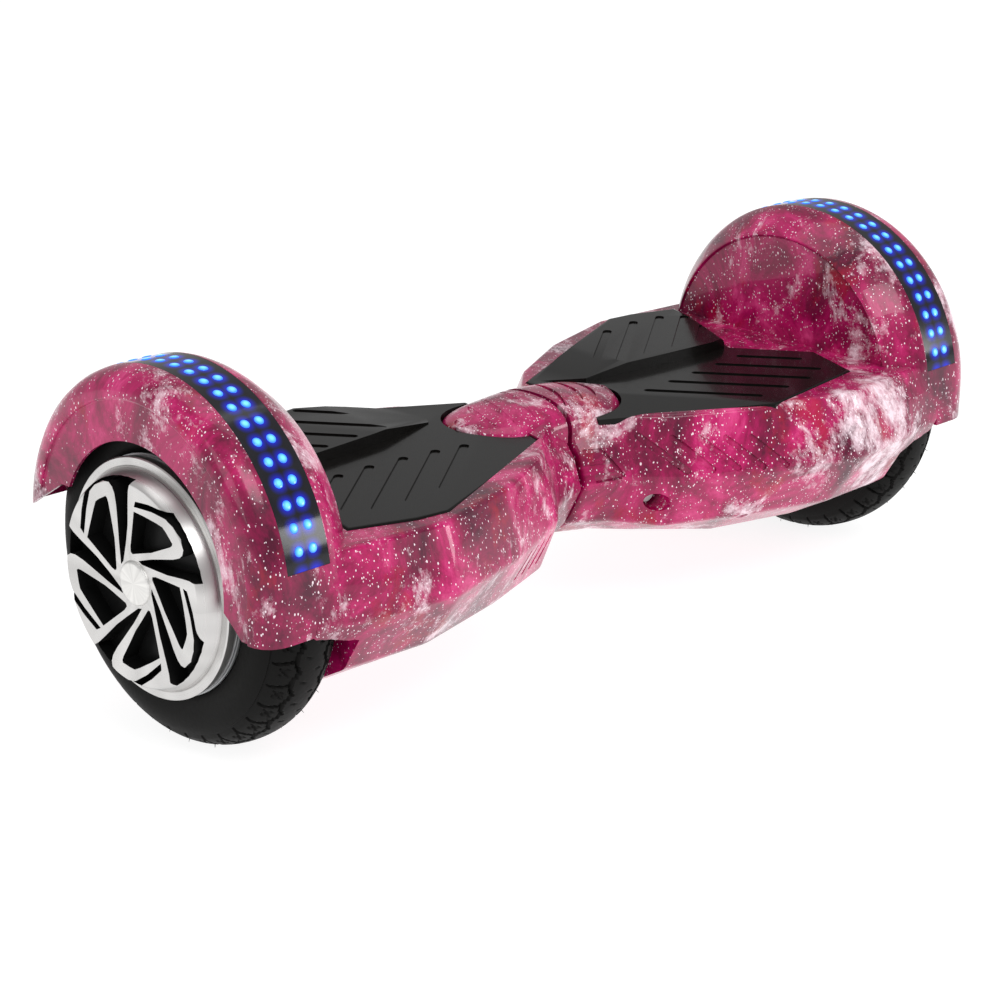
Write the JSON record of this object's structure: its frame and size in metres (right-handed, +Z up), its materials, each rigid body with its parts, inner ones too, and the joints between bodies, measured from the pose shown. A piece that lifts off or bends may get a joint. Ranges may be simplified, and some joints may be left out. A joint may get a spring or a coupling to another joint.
{
  "type": "self-balancing board",
  "caption": "Self-balancing board: a narrow-waisted body in halves that twist about the axle line, with a hub-motor wheel under a round lit fender at each end and sprung foot pads.",
  "frame": {"origin": "on the floor under the middle of the body, midway between the wheels", "axes": "+X along the wheel axles to the right wheel, -Y to the front, +Z up"},
  "size_m": [0.5984, 0.238, 0.216],
  "materials": {
    "shell_print": "glossy raspberry water-transfer print of clouds and stars under clear lacquer",
    "pad_black": "glossy moulded black",
    "tyre_rubber": "matt treaded rubber",
    "rim_silver": "turned and polished",
    "cast_alloy": "as cast",
    "steel": "zinc plated",
    "laminated_iron": "oiled laminations",
    "copper_wire": "enamelled copper wire",
    "circuit_board": "green solder mask",
    "smoked_panel": "smoked gloss",
    "lamp_blue": "lit blue lamp lens",
    "soft_rubber": "soft rubber",
    "cable_sheath": "rubber sheath",
    "bush_plastic": "natural acetal",
    "battery_wrap": "heat-shrink wrap",
    "strap_black": "moulded strap",
    "board_black": "black moulded parts",
    "socket_black": "moulded nylon",
    "button_grey": "light grey satin"
  },
  "bodies": {
    "left_half": {"left_upper_shell": "shell_print", "left_lower_shell": "shell_print", "left_shell_screws": "steel", "left_sensor_board": "circuit_board", "left_led_board": "circuit_board", "left_led_panel": "smoked_panel", "left_led_lenses": "lamp_blue", "left_frame": "cast_alloy", "left_axle_clamp": "cast_alloy", "left_clamp_screws": "steel", "left_axle": "steel", "left_stator_core": "laminated_iron", "left_stator_coils": "copper_wire", "pivot_tube": "steel", "pivot_nut": "steel", "main_board": "circuit_board", "board_parts": "board_black", "pivot_harness": "cable_sheath", "left_motor_cable": "cable_sheath", "charge_socket": "socket_black"},
    "right_half": {"right_upper_shell": "shell_print", "right_lower_shell": "shell_print", "right_shell_screws": "steel", "right_sensor_board": "circuit_board", "right_led_board": "circuit_board", "right_led_panel": "smoked_panel", "right_led_lenses": "lamp_blue", "right_frame": "cast_alloy", "right_axle_clamp": "cast_alloy", "right_clamp_screws": "steel", "right_axle": "steel", "right_stator_core": "laminated_iron", "right_stator_coils": "copper_wire", "pivot_bushes": "bush_plastic", "battery_pack": "battery_wrap", "battery_strap": "strap_black", "right_motor_cable": "cable_sheath", "battery_lead": "cable_sheath", "harness_socket": "bush_plastic", "button_bezel": "socket_black"},
    "left_wheel": {"left_tyre": "tyre_rubber", "left_motor_drum": "cast_alloy", "left_magnet_ring": "laminated_iron", "left_inner_cover": "cast_alloy", "left_spoke_cover": "rim_silver", "left_hub_cap": "rim_silver", "left_wheel_bearings": "steel"},
    "right_wheel": {"right_tyre": "tyre_rubber", "right_motor_drum": "cast_alloy", "right_magnet_ring": "laminated_iron", "right_inner_cover": "cast_alloy", "right_spoke_cover": "rim_silver", "right_hub_cap": "rim_silver", "right_wheel_bearings": "steel"},
    "left_pad": {"left_foot_pad": "pad_black", "left_pad_plungers": "soft_rubber"},
    "right_pad": {"right_foot_pad": "pad_black", "right_pad_plungers": "soft_rubber"},
    "power_button": {"power_button": "button_grey"}
  },
  "joints": [
    {"name": "body_twist", "type": "hinge", "parent": "left_half", "child": "right_half", "pos_m": [0, 0, 0.1], "axis": [1, 0, 0], "range_deg": [-10, 10]},
    {"name": "left_wheel_spin", "type": "hinge", "parent": "left_half", "child": "left_wheel", "pos_m": [-0.256, 0, 0.1], "axis": [1, 0, 0], "continuous": true},
    {"name": "right_wheel_spin", "type": "hinge", "parent": "right_half", "child": "right_wheel", "pos_m": [0.256, 0, 0.1], "axis": [1, 0, 0], "continuous": true},
    {"name": "left_pad_press", "type": "slide", "parent": "left_half", "child": "left_pad", "axis": [0, 0, -1], "range_m": [0, 0.0015], "stiffness_N_per_m": 20000},
    {"name": "right_pad_press", "type": "slide", "parent": "right_half", "child": "right_pad", "axis": [0, 0, -1], "range_m": [0, 0.0015], "stiffness_N_per_m": 20000},
    {"name": "power_button_press", "type": "slide", "parent": "right_half", "child": "power_button", "axis": [0, 0.9511, 0.309], "range_m": [0, 0.001], "stiffness_N_per_m": 600}
  ]
}
